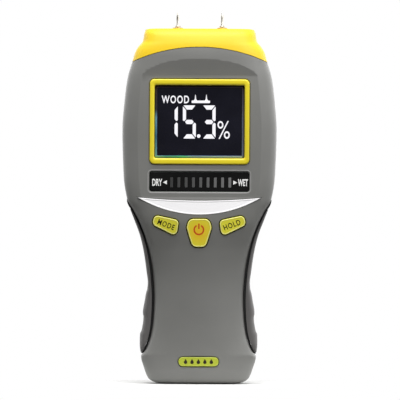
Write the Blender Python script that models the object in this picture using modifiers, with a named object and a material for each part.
"""Two-pin moisture meter, modelled as the separate pieces that it is assembled from.

The meter stands on its lower end: +Z runs up to the electrode pins, the display faces -Y, and the
origin is the middle of the case's lower end. Sizes are in millimetres and MM turns them into metres.
"""

import math

import bmesh
import bpy
from mathutils import Matrix, Vector

MM = 0.001

# --- Driving dimensions -------------------------------------------------------------------------
CASE_HEIGHT = 177.0
HALF_WIDTH = 38.5
FACE = 18.2  # how far the front stands ahead of the middle plane, without the buttons
BACK = 19.0  # how far the back stands behind it
WALL = 2.2
GAP = 0.3  # between pieces that touch
PARTING = 2.0  # the joint plane of the two shells
PIN_SPACING = 22.2
PIN_HEIGHT = 9.3
BUTTON_STAND = 0.5  # how far the buttons stand out of the case

# The display sits on a flat cut into the crowned front, which leaves a crescent above and below it.
FLAT_FACE = 16.4
FLAT_LOW = 93.3
FLAT_HIGH = 153.8
CRESCENT_LOW = 84.35
CRESCENT_HIGH = 161.7

# The joint between the grey shells and the yellow head is an arc.
HEAD_JOINT_TOP = 167.7
HEAD_JOINT_SIDE = 160.2
HEAD_JOINT_REACH = 34.0

# Half widths of the shells against height. Between 16 and 90 this is the waisted edge beside the grips.
SHELL_WIDTHS = (
    (0.0, 12.0),
    (0.4, 20.0),
    (1.2, 23.0),
    (3.0, 25.2),
    (8.0, 27.2),
    (13.8, 28.7),
    (16.5, 26.7),
    (20.0, 25.1),
    (26.0, 23.5),
    (33.0, 22.7),
    (42.0, 22.4),
    (55.0, 23.2),
    (65.0, 24.7),
    (73.0, 26.7),
    (80.0, 29.4),
    (86.0, 32.5),
    (91.5, 35.8),
    (104.0, 37.8),
    (127.0, HALF_WIDTH),
    (142.0, 37.4),
    (153.0, 35.9),
    (160.2, 33.8),
    (166.0, 32.0),
    (168.4, 30.4),
    (170.6, 28.6),
    (175.4, 27.6),
    (176.6, 27.0),
    (CASE_HEIGHT, 25.4),
)
FRONT_DEPTHS = (
    (0.0, 8.0),
    (0.4, 11.0),
    (1.2, 13.0),
    (3.0, 14.6),
    (8.0, 16.0),
    (20.0, 16.2),
    (50.0, 15.3),
    (66.0, 16.3),
    (82.0, FACE),
    (163.0, FACE),
    (168.0, 17.9),
    (173.0, 16.8),
    (175.8, 15.4),
    (CASE_HEIGHT, 13.4),
)
BACK_DEPTHS = (
    (0.0, 8.0),
    (0.4, 11.0),
    (1.2, 13.2),
    (3.0, 15.2),
    (8.0, 17.6),
    (14.0, BACK),
    (100.0, BACK),
    (150.0, 17.4),
    (163.0, 16.6),
    (168.0, 16.1),
    (173.0, 15.0),
    (175.8, 13.6),
    (CASE_HEIGHT, 11.8),
)
# How much lower the crowned front is at its sides, and how sharp the corner there is.
FRONT_CROWNS = (
    (0.0, 1.0),
    (3.0, 1.8),
    (12.0, 3.2),
    (24.0, 4.2),
    (60.0, 4.6),
    (74.0, 3.4),
    (92.0, 1.6),
    (163.0, 1.6),
    (CASE_HEIGHT, 1.0),
)
BACK_CROWNS = ((0.0, 0.0), (90.0, 0.0), (130.0, 1.5), (CASE_HEIGHT, 1.0))
CORNER_POWERS = (
    (0.0, 5.0),
    (12.0, 6.0),
    (20.0, 12.0),
    (72.0, 12.0),
    (92.0, 6.0),
    (165.0, 6.0),
    (CASE_HEIGHT, 6.0),
)

# The soft grips fill the waist. Their outline has the finger ridges.
GRIP_WIDTHS = (
    (15.2, 28.9),
    (19.9, 29.4),
    (24.6, 29.3),
    (26.6, 28.5),
    (33.3, 27.6),
    (35.3, 27.9),
    (42.0, 26.9),
    (45.0, 26.4),
    (47.6, 25.7),
    (50.5, 25.5),
    (55.6, 26.1),
    (65.2, 27.5),
    (73.2, 29.3),
    (82.2, 32.6),
    (88.0, 34.9),
)
GRIP_LOW = 15.8
GRIP_HIGH = 87.0
GRIP_FRONT = 10.6  # how far the grip reaches ahead of the middle plane
GRIP_BACK = 13.2
LINER = (0.2, 0.8)  # from the shell to the black liner's two sides
LINER_INSET = 0.6  # how far the liner stays behind the grip's front and back

# Display stack, as distances ahead of the middle plane.
BEZEL_WIDTH = 49.65
BEZEL_HEIGHT = 42.35
BEZEL_MIDDLE = 130.6
WINDOW_WIDTH = 44.8
WINDOW_HEIGHT = 36.3
BEZEL_RADIUS = 2.4
BEZEL_FRONT = FLAT_FACE + 0.8
BEZEL_SEAT = FLAT_FACE - 0.9
SKIRT_REAR = 13.9
SKIRT_WALL = 0.9
POCKET = 14.3  # the flat inside of the shell, behind the display
LENS_FRONT = 15.7
LENS_FLANGE = (13.0, 11.8)
GLASS = (11.5, 9.7)
BACKLIGHT = (9.4, 8.1)
BOARD = (7.8, 6.2)

# Bar graph window and its lights.
SCALE_WIDTH = 49.75
SCALE_HEIGHT = 10.05
SCALE_MIDDLE = 100.8
LIGHT_COUNT = 9
LIGHT_PITCH = 3.62
LIGHT_OFFSET = 0.7  # the row stands a little nearer the wet end
LIGHT_WIDTH = 1.4
LIGHT_HEIGHT = 5.0

# Battery (PP3) and its compartment.
BATTERY_WIDTH = 26.5
BATTERY_THICK = 17.5
BATTERY_BODY = 46.4
BATTERY_BASE = 9.6
BATTERY_FRONT = 0.9
TUB_HALF = 16.5
TUB_TOP = 66.3
DOOR_HALF = 15.2
DOOR_TOP = 66.0
DOOR_INSIDE = 16.9

# Screw places on the shells, as (x, z).
CASE_SCREWS = ((-29.5, 142.0), (29.5, 142.0), (-21.5, 14.5), (21.5, 14.5))
BOARD_SCREWS = ((-17.0, 89.5), (17.0, 89.5))

GREY = (0.20, 0.20, 0.195)
GREY_SOFT = (0.15, 0.15, 0.15)
YELLOW = (0.93, 0.66, 0.02)
BLACK = (0.012, 0.012, 0.013)
SILVER = (0.78, 0.77, 0.79)
STEEL = (0.72, 0.72, 0.70)
BRASS = (0.72, 0.50, 0.22)
BOARD_GREEN = (0.02, 0.14, 0.06)
SMOKED = (0.03, 0.03, 0.04)
WHITE = (0.85, 0.85, 0.83)
RED = (0.6, 0.02, 0.02)


def fresh_scene():
    """Empties the scene and returns the collections for the meter and for its cutters."""
    for old in list(bpy.data.objects):
        bpy.data.objects.remove(old)
    made = []
    for name in ("moisture_meter", "helpers"):
        collection = bpy.data.collections.new(name)
        bpy.context.scene.collection.children.link(collection)
        made.append(collection)
    return made


METER, HELPERS = fresh_scene()


def finish_of(name, colour, roughness, metallic=0.0):
    """A Principled material, made once for each name."""
    found = bpy.data.materials.get(name)
    if found:
        return found
    made = bpy.data.materials.new(name)
    made.use_nodes = True
    shader = made.node_tree.nodes["Principled BSDF"]
    shader.inputs["Base Color"].default_value = (*colour, 1.0)
    shader.inputs["Roughness"].default_value = roughness
    shader.inputs["Metallic"].default_value = metallic
    return made


SHELL_GREY = finish_of("grey_abs", GREY, 0.45)
HEAD_YELLOW = finish_of("yellow_abs", YELLOW, 0.35)
SOFT_GREY = finish_of("grey_rubber", GREY_SOFT, 0.7)
SOFT_BLACK = finish_of("black_rubber", BLACK, 0.6)
TRIM_SILVER = finish_of("silver_paint", SILVER, 0.35, 0.3)
DARK_WINDOW = finish_of("smoked_acrylic", SMOKED, 0.1)
CLEAR_WINDOW = finish_of("clear_acrylic", SMOKED, 0.08)
LIGHT_WHITE = finish_of("white_diffuser", WHITE, 0.5)
PIN_STEEL = finish_of("pin_steel", STEEL, 0.25, 1.0)
CONTACT_BRASS = finish_of("brass", BRASS, 0.35, 1.0)
CIRCUIT = finish_of("circuit_board", BOARD_GREEN, 0.4)
CHIP_BLACK = finish_of("chip_black", BLACK, 0.5)
WIRE_RED = finish_of("red_wire", RED, 0.5)
LCD_PANEL = finish_of("lcd_panel", SMOKED, 0.1)
BATTERY_CAN = finish_of("battery_can", SMOKED, 0.4)


# --- Curves and sections --------------------------------------------------------------------------
def curve_through(points):
    """A smooth curve through (position, value) points that never overshoots between two of them."""
    at = [p[0] for p in points]
    values = [p[1] for p in points]
    steps = [b - a for a, b in zip(at, at[1:])]
    slopes = [(values[k + 1] - values[k]) / steps[k] for k in range(len(steps))]
    tangents = [slopes[0]]
    for before, after in zip(slopes, slopes[1:]):
        same_way = before * after > 0
        tangents.append(2 * before * after / (before + after) if same_way else 0.0)
    tangents.append(slopes[-1])

    def value(position):
        position = min(max(position, at[0]), at[-1])
        k = max(i for i in range(len(steps)) if at[i] <= position)
        t = (position - at[k]) / steps[k]
        rise = (1 + 2 * t) * (1 - t) ** 2 * values[k] + t * t * (3 - 2 * t) * values[k + 1]
        lean = t * (1 - t) ** 2 * tangents[k] - t * t * (1 - t) * tangents[k + 1]
        return rise + lean * steps[k]

    return value


shell_width = curve_through(SHELL_WIDTHS)
front_depth = curve_through(FRONT_DEPTHS)
back_depth = curve_through(BACK_DEPTHS)
front_crown = curve_through(FRONT_CROWNS)
back_crown = curve_through(BACK_CROWNS)
corner_power = curve_through(CORNER_POWERS)
grip_width = curve_through(GRIP_WIDTHS)


def half_section(width, depth, crown, power, flats=4, corners=4):
    """Points from the middle of a face, (0, depth), to its side, (width, 0).

    The face is a crowned superellipse. Its corner is sampled by angle and its flat by width.
    """
    turn = 0.78
    start = math.asin(turn ** (power / 2))
    shares = [turn * k / flats for k in range(flats)]
    for k in range(corners + 1):
        angle = start + (math.pi / 2 - start) * k / corners
        shares.append(math.sin(angle) ** (2 / power))
    points = []
    for u in shares:
        rest = max(0.0, 1 - min(u, 1.0) ** power)
        points.append((width * u, (depth - crown * u * u) * rest ** (1 / power)))
    return points


def case_front(x, z):
    """How far the crowned front stands ahead of the middle plane at (x, z)."""
    u = abs(x) / shell_width(z)
    rest = max(0.0, 1 - u ** corner_power(z))
    return (front_depth(z) - front_crown(z) * u * u) * rest ** (1 / corner_power(z))


def face_loop(z, side, inset=0.0, limit=None, crowned=True, join=PARTING):
    """One half of the case's section at height z, from its left side round its face to its right side.

    side is -1 for the front and 1 for the back. inset moves it in by a wall, limit caps its depth, and
    join is where the half ends on the middle plane's side.
    """
    depth = (front_depth if side < 0 else back_depth)(z) - inset
    crown = (front_crown if side < 0 else back_crown)(z) if crowned else 0.0
    if limit is not None:
        depth = min(depth, limit)
    edge = shell_width(z) - inset
    half = half_section(edge, depth, crown, corner_power(z))[:-1]
    right = [(x, side * y) for x, y in half]
    left = [(-x, y) for x, y in reversed(right[1:])]
    return [Vector((x, y, z)) for x, y in [(-edge, join), *left, *right, (edge, join)]]


def whole_loop(z, inset=0.0):
    """The case's full section at height z, front and back."""
    front = face_loop(z, -1, inset, join=0.0)
    back = face_loop(z, 1, inset)[1:-1]
    return front + list(reversed(back))


def levels(low, high, wanted):
    """The heights in wanted that lie between low and high, with both ends."""
    return [low, *[z for z in wanted if low < z < high], high]


# --- Mesh helpers -----------------------------------------------------------------------------------
def own(mesh_data, name, material, origin):
    """An object in the meter's collection. Its origin is a point in millimetres."""
    made = bpy.data.objects.new(name, mesh_data)
    METER.objects.link(made)
    if material is None:
        METER.objects.unlink(made)
        HELPERS.objects.link(made)
        made.hide_render = True
        made.display_type = "WIRE"
    else:
        mesh_data.materials.append(material)
        place = Vector(origin) * MM
        mesh_data.transform(Matrix.Translation(-place))
        made.location = place
        mesh_data.shade_smooth()
        mesh_data.set_sharp_from_angle(angle=math.radians(32))
    return made


def from_bmesh(shape, name, material, origin):
    """Closes a bmesh in millimetres into an object in metres."""
    bmesh.ops.recalc_face_normals(shape, faces=shape.faces)
    bmesh.ops.scale(shape, vec=(MM, MM, MM), verts=shape.verts)
    data = bpy.data.meshes.new(name)
    shape.to_mesh(data)
    shape.free()
    return own(data, name, material, origin)


def loft(name, loops, material=None, origin=(0, 0, 0)):
    """A solid through a stack of like loops, with flat ends."""
    shape = bmesh.new()
    rings = [[shape.verts.new(p) for p in loop] for loop in loops]
    count = len(rings[0])
    for lower, upper in zip(rings, rings[1:]):
        for k in range(count):
            nxt = (k + 1) % count
            shape.faces.new((lower[k], lower[nxt], upper[nxt], upper[k]))
    shape.faces.new(rings[0])
    shape.faces.new(rings[-1])
    return from_bmesh(shape, name, material, origin)


def plate(name, outline, front, back, material=None, origin=(0, 0, 0)):
    """An (x, z) outline made thick from y = front to y = back, each a number or a function of x and z."""
    loops = []
    for y in (front, back):
        at = y if callable(y) else lambda x, z, y=y: y
        loops.append([Vector((x, at(x, z), z)) for x, z in outline])
    return loft(name, loops, material, origin)


def box(name, low, high, material=None):
    """A block between two corners."""
    low, high = Vector(low), Vector(high)
    middle, size = (low + high) / 2, high - low
    shape = bmesh.new()
    bmesh.ops.create_cube(shape, size=1.0)
    bmesh.ops.scale(shape, vec=size, verts=shape.verts)
    bmesh.ops.translate(shape, vec=middle, verts=shape.verts)
    return from_bmesh(shape, name, material, middle)


def rod(name, radius, start, end, material=None, segments=16):
    """A cylinder from start to end."""
    start, end = Vector(start), Vector(end)
    along = end - start
    shape = bmesh.new()
    bmesh.ops.create_cone(
        shape,
        cap_ends=True,
        segments=segments,
        radius1=radius,
        radius2=radius,
        depth=along.length,
    )
    turn = Vector((0, 0, 1)).rotation_difference(along).to_matrix().to_4x4()
    bmesh.ops.transform(
        shape, matrix=Matrix.Translation((start + end) / 2) @ turn, verts=shape.verts
    )
    return from_bmesh(shape, name, material, (start + end) / 2)


def turned(name, profile, place, material, axis="Z", segments=16):
    """A profile of (radius, height) points, from top to bottom, turned about an axis through place."""
    data = bpy.data.meshes.new(name)
    points = [(r * MM, 0, h * MM) for r, h in profile]
    data.from_pydata(points, [(k, k + 1) for k in range(len(points) - 1)], [])
    data.materials.append(material)
    made = bpy.data.objects.new(name, data)
    METER.objects.link(made)
    screw = made.modifiers.new("Turned", "SCREW")
    screw.steps = segments
    screw.render_steps = segments
    screw.use_merge_vertices = True
    screw.merge_threshold = 0.00001
    made.location = Vector(place) * MM
    if axis == "Y":
        made.rotation_euler = (math.radians(-90), 0, 0)
    return made


def wire(name, route, radius, material):
    """A round lead along a smooth curve through the route's points."""
    points = [Vector(p) for p in route]
    ends = [2 * points[0] - points[1], *points, 2 * points[-1] - points[-2]]
    smooth = []
    for k in range(1, len(ends) - 2):
        a, b, c, d = ends[k - 1 : k + 3]
        for step in range(4):
            t = step / 4
            bend = (2 * a - 5 * b + 4 * c - d) * t * t + (3 * b - a - 3 * c + d) * t**3
            smooth.append((2 * b + (c - a) * t + bend) / 2)
    smooth.append(points[-1])
    data = bpy.data.curves.new(name, "CURVE")
    data.dimensions = "3D"
    data.bevel_depth = radius * MM
    data.bevel_resolution = 1
    data.use_fill_caps = True
    data.materials.append(material)
    spline = data.splines.new("POLY")
    spline.points.add(len(smooth) - 1)
    for at, p in zip(spline.points, smooth):
        at.co = (*(p * MM), 1.0)
    made = bpy.data.objects.new(name, data)
    METER.objects.link(made)
    return made


def combine(target, tool, operation):
    """Leaves a Boolean on target."""
    modifier = target.modifiers.new(tool.name, "BOOLEAN")
    modifier.object = tool
    modifier.operation = operation
    modifier.solver = "EXACT"


def cut(target, tool):
    combine(target, tool, "DIFFERENCE")


def join(target, tool):
    combine(target, tool, "UNION")


def rounded(corners, radius, steps=3):
    """An (x, z) outline with each corner replaced by an arc. corners run anticlockwise or clockwise."""
    outline = []
    count = len(corners)
    for k in range(count):
        here = Vector(corners[k])
        back = (Vector(corners[k - 1]) - here).normalized()
        ahead = (Vector(corners[(k + 1) % count]) - here).normalized()
        half = back.angle(ahead) / 2
        reach = radius / math.tan(half)
        centre = here + (back + ahead).normalized() * (radius / math.sin(half))
        first, last = here + back * reach - centre, here + ahead * reach - centre
        sweep = first.angle_signed(last)
        for step in range(steps + 1):
            outline.append(centre + Matrix.Rotation(-sweep * step / steps, 2) @ first)
    return [(p.x, p.y) for p in outline]


def rounded_box(width, height, middle, radius, steps=3):
    """A rounded rectangle in (x, z), centred on x = 0."""
    w, h = width / 2, height / 2
    corners = [(-w, middle - h), (w, middle - h), (w, middle + h), (-w, middle + h)]
    return rounded(corners, radius, steps)


def arc(start, middle, end, steps):
    """Points in (x, z) on the circle arc from start through middle to end, where middle is on x = 0."""
    half = abs(end[0])
    sag = middle[1] - end[1]
    radius = (half * half + sag * sag) / (2 * abs(sag))
    centre = middle[1] - math.copysign(radius, sag)
    spread = math.asin(half / radius)
    points = []
    for k in range(steps + 1):
        angle = spread * (2 * k / steps - 1)
        points.append((radius * math.sin(angle), centre + math.copysign(radius * math.cos(angle), sag)))
    return points if start[0] < end[0] else points[::-1]


def mirrored(corners):
    return [(-x, z) for x, z in reversed(corners)]


# --- Case -------------------------------------------------------------------------------------------
SHELL_LEVELS = (
    0.4, 1.2, 3.0, 8.0, 13.8, 15.2, 17.0, 20.0, 26.0, 33.0, 42.0, 52.0, 62.0, 70.0, 76.0, 82.0, 87.0,
    91.5, 97.0, 104.0, 115.0, 127.0, 140.0, 150.0, 157.0, 163.0, 168.4,
)
CAVITY_LEVELS = (5.0, 10.0, 13.8, 17.0, 22.0, 30.0, 42.0, 60.0, 72.0, 82.0, 90.0, 100.0, 127.0, 150.0)


def head_joint(lift=0.0, reach=45.0, steps=24):
    """The arc where the head meets the shells, moved up by lift, from -reach to reach."""
    sag = HEAD_JOINT_TOP - HEAD_JOINT_SIDE
    radius = (HEAD_JOINT_REACH**2 + sag**2) / (2 * sag)
    drop = radius - math.sqrt(radius**2 - reach**2)
    top = HEAD_JOINT_TOP + lift
    return arc((-reach, top - drop), (0, top), (reach, top - drop), steps)


def above_head_joint(name):
    """A cutter for everything above the head's joint."""
    line = head_joint(-GAP / 2)
    outline = [*line, (line[-1][0], 200), (line[0][0], 200)]
    return plate(name, outline, -30, 30)


def add_bosses(shell, side, places, start, radius):
    """Screw posts from y = start to halfway through the shell's wall."""
    rings = [
        face_loop(z, side, WALL / 2, limit=15.3 if side < 0 else None, join=start)
        for z in levels(WALL / 2, 172.0, CAVITY_LEVELS)
    ]
    limit = loft(f"boss_limit_{start:.0f}", rings)
    for x, z in places:
        post = rod("screw_post", radius, (x, start, z), (x, side * 25, z), segments=14)
        combine(post, limit, "INTERSECT")
        join(shell, post)


def flat_cutter():
    """Takes the crowned front down to the display's flat, with sloping crescents above and below."""
    low_slope = (FACE - FLAT_FACE) / (FLAT_LOW - CRESCENT_LOW)
    high_slope = (FACE - FLAT_FACE) / (CRESCENT_HIGH - FLAT_HIGH)
    run = 20.0
    profile = [
        (-FLAT_FACE, FLAT_LOW),
        (-FLAT_FACE, FLAT_HIGH),
        (-FLAT_FACE - high_slope * run, FLAT_HIGH + run),
        (-FLAT_FACE - high_slope * run, FLAT_LOW - run),
        (-FLAT_FACE - low_slope * run, FLAT_LOW - run),
    ]
    ends = [[Vector((x, y, z)) for y, z in profile] for x in (-45, 45)]
    return loft("flat_cutter", ends)


CRESCENT_REACH = 30.4


def slope_depth(z):
    """How far the lower sloping crescent stands ahead of the middle plane at height z."""
    return FLAT_FACE + (FLAT_LOW - z) * (FACE - FLAT_FACE) / (FLAT_LOW - CRESCENT_LOW)


def crescent(grow, steps=16):
    """The silver trim's (x, z) outline, grown by a gap all round."""
    end = CRESCENT_REACH + grow
    low = arc((-end, 92.6 - grow), (0, CRESCENT_LOW - grow), (end, 92.6 - grow), steps)
    high = arc((end, 93.0 + grow), (0, 91.35 + grow), (-end, 93.0 + grow), steps)
    return low + high


MODE_CORNERS = ((-22.1, 84.2), (-23.4, 79.4), (-11.2, 73.4), (-9.95, 81.5))
HOLD_CORNERS = mirrored(MODE_CORNERS)
POWER_CORNERS = ((-4.95, 82.3), (-6.3, 77.9), (-3.3, 68.3), (3.3, 68.3), (6.3, 77.9), (4.95, 82.3))
BUTTONS = {
    "mode": (MODE_CORNERS, 2.2, (-16.7, 79.4)),
    "power": (POWER_CORNERS, 1.9, (0.0, 76.2)),
    "hold": (HOLD_CORNERS, 2.2, (16.7, 79.4)),
}


def grown(outline, amount):
    """The closed (x, z) outline with each side moved out by amount."""
    points = [Vector(p) for p in outline]
    turn = sum(a.x * b.y - b.x * a.y for a, b in zip(points, points[1:] + points[:1]))
    result = []
    for k, here in enumerate(points):
        ahead = points[(k + 1) % len(points)]
        sides = [(here - points[k - 1]).normalized(), (ahead - here).normalized()]
        out = [math.copysign(1, turn) * Vector((side.y, -side.x)) for side in sides]
        corner = here + (out[0] + out[1]) * amount / (1 + out[0].dot(out[1]))
        result.append((corner.x, corner.y))
    return result


BADGE = rounded_box(20.0, 4.6, 11.3, 2.2, steps=4)


def make_front_shell():
    outer = [face_loop(z, -1, join=PARTING - GAP / 2) for z in levels(0.0, 172.0, SHELL_LEVELS)]
    shell = loft("front_shell", outer, SHELL_GREY, (0, 0, CASE_HEIGHT / 2))
    inner = [
        face_loop(z, -1, WALL, limit=POCKET, crowned=z < 66.0, join=10)
        for z in levels(WALL, 185.0, CAVITY_LEVELS)
    ]
    cut(shell, loft("front_cavity", inner))
    add_bosses(shell, -1, CASE_SCREWS, PARTING - GAP / 2, 3.4)
    add_bosses(shell, -1, BOARD_SCREWS, -BOARD[0] - GAP, 2.8)
    cut(shell, above_head_joint("front_top_cutter"))
    cut(shell, flat_cutter())
    pocket = rounded_box(52.8, 58.6, 124.1, 1.5)
    cut(shell, plate("display_pocket", pocket, -POCKET, -5))
    recess = rounded_box(BEZEL_WIDTH + 2 * GAP, BEZEL_HEIGHT + 2 * GAP, BEZEL_MIDDLE, BEZEL_RADIUS + GAP)
    cut(shell, plate("bezel_recess", recess, -25, -BEZEL_SEAT + GAP))
    skirt = 2 * (SKIRT_WALL + GAP)
    opening = rounded_box(WINDOW_WIDTH + skirt, WINDOW_HEIGHT + skirt, BEZEL_MIDDLE, 1.6)
    cut(shell, plate("display_opening", opening, -25, -10))
    slot = rounded_box(SCALE_WIDTH, SCALE_HEIGHT, SCALE_MIDDLE, 1.2)
    cut(shell, plate("scale_opening", slot, -25, -10))
    cut(shell, plate("crescent_recess", crescent(GAP), -25, lambda x, z: 1.3 - slope_depth(z)))
    for name, (corners, radius, _) in BUTTONS.items():
        well = grown(rounded(corners, radius), 0.35)
        cut(shell, plate(f"{name}_well", well, -25, -8))
    cut(shell, plate("badge_recess", grown(BADGE, GAP), -25, -14.6))
    for k, (x, z) in enumerate(CASE_SCREWS):
        cut(shell, rod(f"front_pilot_{k}", 1.7, (x, -10, z), (x, 5, z), segments=12))
    for k, (x, z) in enumerate(BOARD_SCREWS):
        cut(shell, rod(f"board_pilot_{k}", 1.4, (x, -13.6, z), (x, -5, z), segments=12))
    return shell


def make_rear_shell():
    outer = [face_loop(z, 1, join=PARTING + GAP / 2) for z in levels(0.0, 172.0, SHELL_LEVELS)]
    shell = loft("rear_shell", outer, SHELL_GREY, (0, 0, CASE_HEIGHT / 2))
    inner = [face_loop(z, 1, WALL, join=-10) for z in levels(WALL, 185.0, CAVITY_LEVELS)]
    cut(shell, loft("rear_cavity", inner))
    join(shell, box("tub", (-TUB_HALF, -3.9, 7.0), (TUB_HALF, 16.9, TUB_TOP + 2.2)))
    add_bosses(shell, 1, CASE_SCREWS, PARTING + GAP / 2, 4.2)
    cut(shell, above_head_joint("rear_top_cutter"))
    cut(shell, box("tub_inside", (-14.0, -2.3, 8.6), (14.0, 30, 62.6)))
    cut(shell, box("wire_notch", (-8.0, -5.0, 60.0), (8.0, 4.5, 80.0)))
    cut(shell, box("door_channel", (-DOOR_HALF - GAP, 16.6, -5), (DOOR_HALF + GAP, 30, TUB_TOP)))
    cut(shell, box("door_grooves", (-DOOR_HALF - 1.1, 16.6, -5), (DOOR_HALF + 1.1, 17.9, TUB_TOP)))
    for k, (x, z) in enumerate(CASE_SCREWS):
        cut(shell, rod(f"rear_counterbore_{k}", 3.2, (x, 8.0, z), (x, 30, z), segments=16))
        cut(shell, rod(f"rear_clearance_{k}", 1.9, (x, -2, z), (x, 12, z), segments=12))
    return shell


def make_battery_door():
    """A plate that follows the back's curve, with a tongue down each side."""
    outer = [face_loop(z, 1) for z in levels(7.6, DOOR_TOP, SHELL_LEVELS)]
    door = loft("battery_door", outer, SHELL_GREY, (0, 18, 36))
    combine(door, box("door_limit", (-DOOR_HALF, DOOR_INSIDE, -5), (DOOR_HALF, 30, 80)), "INTERSECT")
    low, high = 9.6, DOOR_TOP - 1.0
    tongue = box("door_tongues", (-DOOR_HALF - 0.8, DOOR_INSIDE, low), (DOOR_HALF + 0.8, 17.6, high))
    join(door, tongue)
    for k in range(5):
        z = 52.0 + 2.4 * k
        cut(door, rod(f"thumb_groove_{k}", 1.0, (-7, BACK + 0.5, z), (7, BACK + 0.5, z), segments=10))
    return door


def make_head_cap():
    low = 156.0
    rings = (158.0, 160.2, 163.0, 166.0, 168.4, 170.6, 173.0, 175.4, 176.6)
    outer = [whole_loop(z) for z in levels(low, CASE_HEIGHT, rings)]
    cap = loft("head_cap", outer, HEAD_YELLOW, (0, 0, 170))
    roof = CASE_HEIGHT - 3.2
    inner = [whole_loop(z, inset=2.4) for z in levels(low - 4, roof, rings)]
    cut(cap, loft("head_cavity", inner))
    for side in (-1, 1):
        x = side * PIN_SPACING / 2
        join(cap, rod(f"pin_boss_{side}", 4.2, (x, 0, 167.5), (x, 0, roof + 1), segments=16))
    line = head_joint(GAP / 2)
    below = [*line, (line[-1][0], 120), (line[0][0], 120)]
    cut(cap, plate("head_joint_cutter", below, -30, 30))
    for side in (-1, 1):
        x = side * PIN_SPACING / 2
        cut(cap, rod(f"socket_hole_{side}", 2.6, (x, 0, 160), (x, 0, 190), segments=16))
    return cap


def grip_loop(z, side, inner, outer):
    """A grip's section at height z: a straight inner side and a rounded outer one."""
    points = [(inner, -GRIP_FRONT), (inner, GRIP_BACK)]
    middle, half = (GRIP_BACK - GRIP_FRONT) / 2, (GRIP_BACK + GRIP_FRONT) / 2
    steps = 8
    for k in range(1, steps):
        angle = math.pi / 2 * (1 - 2 * k / steps)
        bulge = math.cos(angle) ** 0.6
        reach = math.copysign(abs(math.sin(angle)) ** 0.55, math.sin(angle))
        points.append((inner + (outer - inner) * bulge, middle + half * reach))
    return [Vector((side * x, y, z)) for x, y in points]


GRIP_LEVELS = (
    17.5, 19.9, 22.5, 24.6, 26.6, 30.0, 33.3, 35.3, 39.0, 42.0, 45.0, 47.6, 50.5, 55.6, 65.0, 73.0, 80.0,
)


def make_grips():
    for side, name in ((-1, "left"), (1, "right")):
        pad = []
        for z in levels(GRIP_LOW, GRIP_HIGH, GRIP_LEVELS):
            inner = shell_width(z) + LINER[1] + GAP
            pad.append(grip_loop(z, side, inner, max(grip_width(z), inner + 0.4)))
        loft(f"{name}_grip", pad, SOFT_GREY, (side * 26, 0, 50))
        liner = []
        front, back = LINER_INSET - GRIP_FRONT, GRIP_BACK - LINER_INSET
        for z in levels(GRIP_LOW - 0.8, GRIP_HIGH + 1.2, SHELL_LEVELS):
            near, far = [shell_width(z) + reach for reach in LINER]
            corners = [(near, front), (far, front), (far, back), (near, back)]
            liner.append([Vector((side * x, y, z)) for x, y in corners])
        loft(f"{name}_grip_liner", liner, SOFT_BLACK, (side * 25, 0, 50))


def make_front_trim():
    """The silver crescent and the plain name badge, each in its own recess."""
    plate(
        "crescent_trim",
        crescent(0.0),
        lambda x, z: -0.15 - slope_depth(z),
        lambda x, z: 1.0 - slope_depth(z),
        TRIM_SILVER,
        (0, -17.5, 89),
    )
    plate("name_badge", BADGE, -16.3, -14.9, HEAD_YELLOW, (0, -16, 11.3))


# --- Display ----------------------------------------------------------------------------------------
def make_display():
    middle = BEZEL_MIDDLE
    frame = rounded_box(BEZEL_WIDTH, BEZEL_HEIGHT, middle, BEZEL_RADIUS)
    bezel = plate("display_bezel", frame, -BEZEL_FRONT, -BEZEL_SEAT, HEAD_YELLOW, (0, -16.4, middle))
    skirt = rounded_box(WINDOW_WIDTH + 2 * SKIRT_WALL, WINDOW_HEIGHT + 2 * SKIRT_WALL, middle, 1.3)
    join(bezel, plate("bezel_skirt", skirt, -BEZEL_SEAT - 0.5, -SKIRT_REAR))
    cut(bezel, plate("bezel_window", rounded_box(WINDOW_WIDTH, WINDOW_HEIGHT, middle, 1.0), -25, -10))

    pane = rounded_box(WINDOW_WIDTH - 2 * GAP, WINDOW_HEIGHT - 2 * GAP, middle, 0.8)
    lens = plate("display_lens", pane, -LENS_FRONT, -LENS_FLANGE[1], CLEAR_WINDOW, (0, -14, middle))
    flange = rounded_box(50.0, 41.0, middle, 1.5)
    join(lens, plate("lens_flange", flange, -LENS_FLANGE[0], -LENS_FLANGE[1] - 0.05))

    seal = rounded_box(52.0, 43.0, middle, 1.5)
    gasket = plate("lens_gasket", seal, -14.0, -13.3, SOFT_BLACK, (0, -13.6, middle))
    cut(gasket, plate("gasket_window", rounded_box(47.4, 38.9, middle, 1.2), -20, -8))

    box("lcd_glass", (-24.0, -GLASS[0], middle - 20.0), (24.0, -GLASS[1], middle + 20.0), LCD_PANEL)
    light = (-23.6, -BACKLIGHT[0], middle - 19.6), (23.6, -BACKLIGHT[1], middle + 19.6)
    box("lcd_backlight", *light, LIGHT_WHITE)

    window = rounded_box(SCALE_WIDTH - 2 * GAP, SCALE_HEIGHT - 2 * GAP, SCALE_MIDDLE, 1.0)
    scale = plate("scale_window", window, -FLAT_FACE + 0.4, -12.9, DARK_WINDOW, (0, -15, SCALE_MIDDLE))
    join(scale, plate("scale_flange", rounded_box(51.8, 8.6, SCALE_MIDDLE, 1.0), -13.9, -12.95))
    for k in range(LIGHT_COUNT):
        x = (k - (LIGHT_COUNT - 1) / 2) * LIGHT_PITCH + LIGHT_OFFSET
        z = SCALE_MIDDLE - 0.4
        low = (x - LIGHT_WIDTH / 2, -12.5, z - LIGHT_HEIGHT / 2)
        high = (x + LIGHT_WIDTH / 2, -BOARD[0] - GAP, z + LIGHT_HEIGHT / 2)
        box(f"scale_light_{k + 1}", low, high, LIGHT_WHITE)


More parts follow.
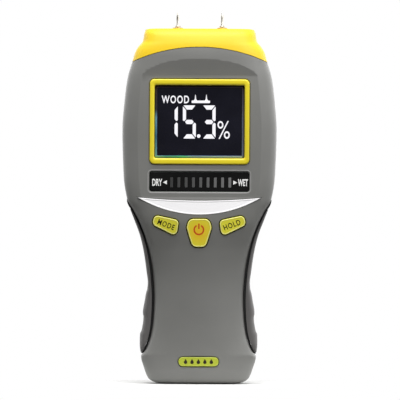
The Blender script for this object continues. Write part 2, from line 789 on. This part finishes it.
# --- Electronics --------------------------------------------------------------------------------------
def make_board():
    corners = ((-25.6, 157.0), (-25.6, 86.5), (-19.0, 70.0), (19.0, 70.0), (25.6, 86.5), (25.6, 157.0))
    board = plate("main_board", rounded(corners, 1.5), -BOARD[0], -BOARD[1], CIRCUIT, (0, -7, 114))
    for k, (x, z) in enumerate(BOARD_SCREWS):
        cut(board, rod(f"board_hole_{k}", 1.7, (x, -10, z), (x, -4, z), segments=12))
        profile = [(0, 2.0), (2.2, 1.6), (2.4, 0.0), (1.1, 0.0), (1.1, -5.6), (0, -6.4)]
        turned(f"board_screw_{k + 1}", profile, (x, -BOARD[1] + GAP, z), PIN_STEEL, "Y", 12)
    rear = -BOARD[1] + GAP
    box("controller_chip", (-6.0, rear, 118.0), (6.0, rear + 1.6, 130.0), CHIP_BLACK)
    turned("buzzer", [(0, 3.6), (6.2, 3.6), (6.2, 0), (0, 0)], (14, rear, 142), CHIP_BLACK, "Y", 20)
    can = [(0, 7.0), (2.6, 7.0), (2.6, 0), (0, 0)]
    turned("smoothing_capacitor", can, (-15, rear, 100), CHIP_BLACK, "Y", 14)


def button_face(x, z, stand):
    """The plane that touches the case's front at (x, z), moved out by stand, as a function for plate."""
    here = case_front(x, z)
    lean = case_front(x + 1, z) - case_front(x - 1, z), case_front(x, z + 1) - case_front(x, z - 1)
    return lambda u, v: -(here + stand + (u - x) * lean[0] / 2 + (v - z) * lean[1] / 2)


def make_buttons():
    """Each button cap, the plunger that it presses and the switch under them."""
    for name, (corners, radius, (x, z)) in BUTTONS.items():
        axis = bpy.data.objects.new(f"{name}_axis", None)
        METER.objects.link(axis)
        axis.location = Vector((x, -14, z)) * MM
        outline = rounded(corners, radius)
        face = button_face(x, z, BUTTON_STAND)
        cap = plate(f"{name}_button", outline, face, -13.2, HEAD_YELLOW, (x, -14, z))
        join(cap, plate(f"{name}_flange", grown(outline, 1.0), -13.6, -12.95))
        join(cap, rod(f"{name}_stem", 1.8, (x, -13.3, z), (x, -12.7, z), segments=12))
        bevel = cap.modifiers.new("Soft edge", "BEVEL")
        bevel.width = 0.25 * MM
        bevel.segments = 1
        bevel.limit_method = "ANGLE"
        bevel.angle_limit = math.radians(60)
        plunger = rod(f"{name}_plunger", 1.6, (x, -12.4, z), (x, -10.6, z), CHIP_BLACK, segments=12)
        for piece in (cap, plunger):
            piece.parent = axis
            piece.location = piece.location - axis.location
        base = -BOARD[0] - GAP
        switch = box(f"{name}_switch", (x - 3, base - 3.5, z - 3), (x + 3, base, z + 3), CHIP_BLACK)
        cut(switch, rod(f"{name}_switch_bore", 1.9, (x, -20, z), (x, -9.6, z), segments=12))


# --- Power --------------------------------------------------------------------------------------------
def make_battery():
    half = BATTERY_WIDTH / 2
    top = BATTERY_BASE + BATTERY_BODY
    rear = -BATTERY_FRONT + BATTERY_THICK
    corners = ((-half, BATTERY_BASE), (half, BATTERY_BASE), (half, top), (-half, top))
    cell = plate("battery", rounded(corners, 1.2, 2), -BATTERY_FRONT, rear, BATTERY_CAN, (0, 8, 32))
    middle = (rear - BATTERY_FRONT) / 2
    clip = box("battery_snap", (-12.6, middle - 6.4, top + GAP), (12.6, middle + 6.4, 61.0), CHIP_BLACK)
    for side, radius in ((-1, 2.8), (1, 3.9)):
        x = side * 6.35
        join(cell, rod(f"terminal_{side}", radius, (x, middle, top - 1), (x, middle, top + 2.1)))
        cut(clip, rod(f"snap_socket_{side}", 4.3, (x, middle, top - 1), (x, middle, top + 2.6)))
    box("battery_pad", (-11.0, -2.0, 14.0), (11.0, -1.2, 50.0), SOFT_BLACK)
    for side, name, material in ((-1, "red", WIRE_RED), (1, "black", CHIP_BLACK)):
        x = side * 4.0
        route = [
            (x, middle - 5.0, 61.6),
            (x, middle - 6.0, 64.5),
            (x * 0.9, 2.0, 67.5),
            (x * 0.9, -1.5, 72.5),
            (x, -4.2, 77.0),
            (x, -5.9, 77.4),
        ]
        wire(f"battery_lead_{name}", route, 0.65, material)


# --- Electrodes and fasteners ---------------------------------------------------------------------------
def make_electrodes():
    """Each replaceable pin with its washer, its brass socket and the lead to the board."""
    for side, name in ((-1, "left"), (1, "right")):
        x = side * PIN_SPACING / 2
        axis = bpy.data.objects.new(f"{name}_pin_axis", None)
        METER.objects.link(axis)
        axis.location = Vector((x, 0, CASE_HEIGHT)) * MM
        collar = 1.05
        profile = [
            (0, PIN_HEIGHT),
            (0.8, PIN_HEIGHT - 3.0),
            (0.8, collar + 0.7),
            (1.5, collar + 0.7),
            (1.5, collar),
            (1.25, collar),
            (1.25, -8.6),
            (0, -9.2),
        ]
        pin = turned(f"{name}_pin", profile, (0, 0, 0), PIN_STEEL, segments=14)
        ring = [(1.55, 0.8), (2.7, 0.7), (2.7, 0.2), (1.55, 0.2), (1.55, 0.8)]
        washer = turned(f"{name}_pin_washer", ring, (0, 0, 0), CONTACT_BRASS, segments=16)
        for piece in (pin, washer):
            piece.parent = axis
        socket = [(1.6, -0.3), (2.3, -0.3), (2.3, -11.4), (1.6, -11.4), (1.6, -0.3)]
        turned(f"{name}_pin_socket", socket, (x, 0, CASE_HEIGHT), CONTACT_BRASS, segments=16)
        route = [
            (x + side * 1.9, 0, CASE_HEIGHT - 11.4 - GAP - 0.2),
            (x + side * 2.4, -0.6, 161.5),
            (x + side * 1.6, -2.4, 157.0),
            (x, -4.3, 151.4),
            (x, -5.9, 151.0),
        ]
        wire(f"{name}_pin_lead", route, 0.55, CHIP_BLACK)


def make_case_screws():
    """Self-tapping screws from the back, each in its counterbore."""
    head = 8.0 + GAP
    profile = [(0, 1.9), (1.6, 1.9), (2.7, 1.3), (2.7, 0)]
    profile += [(1.4, 0), (1.4, -15.5), (0.4, -17.0), (0, -17.0)]
    for k, (x, z) in enumerate(CASE_SCREWS):
        turned(f"case_screw_{k + 1}", profile, (x, head, z), PIN_STEEL, "Y", 12)


make_front_shell()
make_rear_shell()
make_battery_door()
make_head_cap()
make_grips()
make_front_trim()
make_display()
make_board()
make_buttons()
make_battery()
make_electrodes()
make_case_screws()
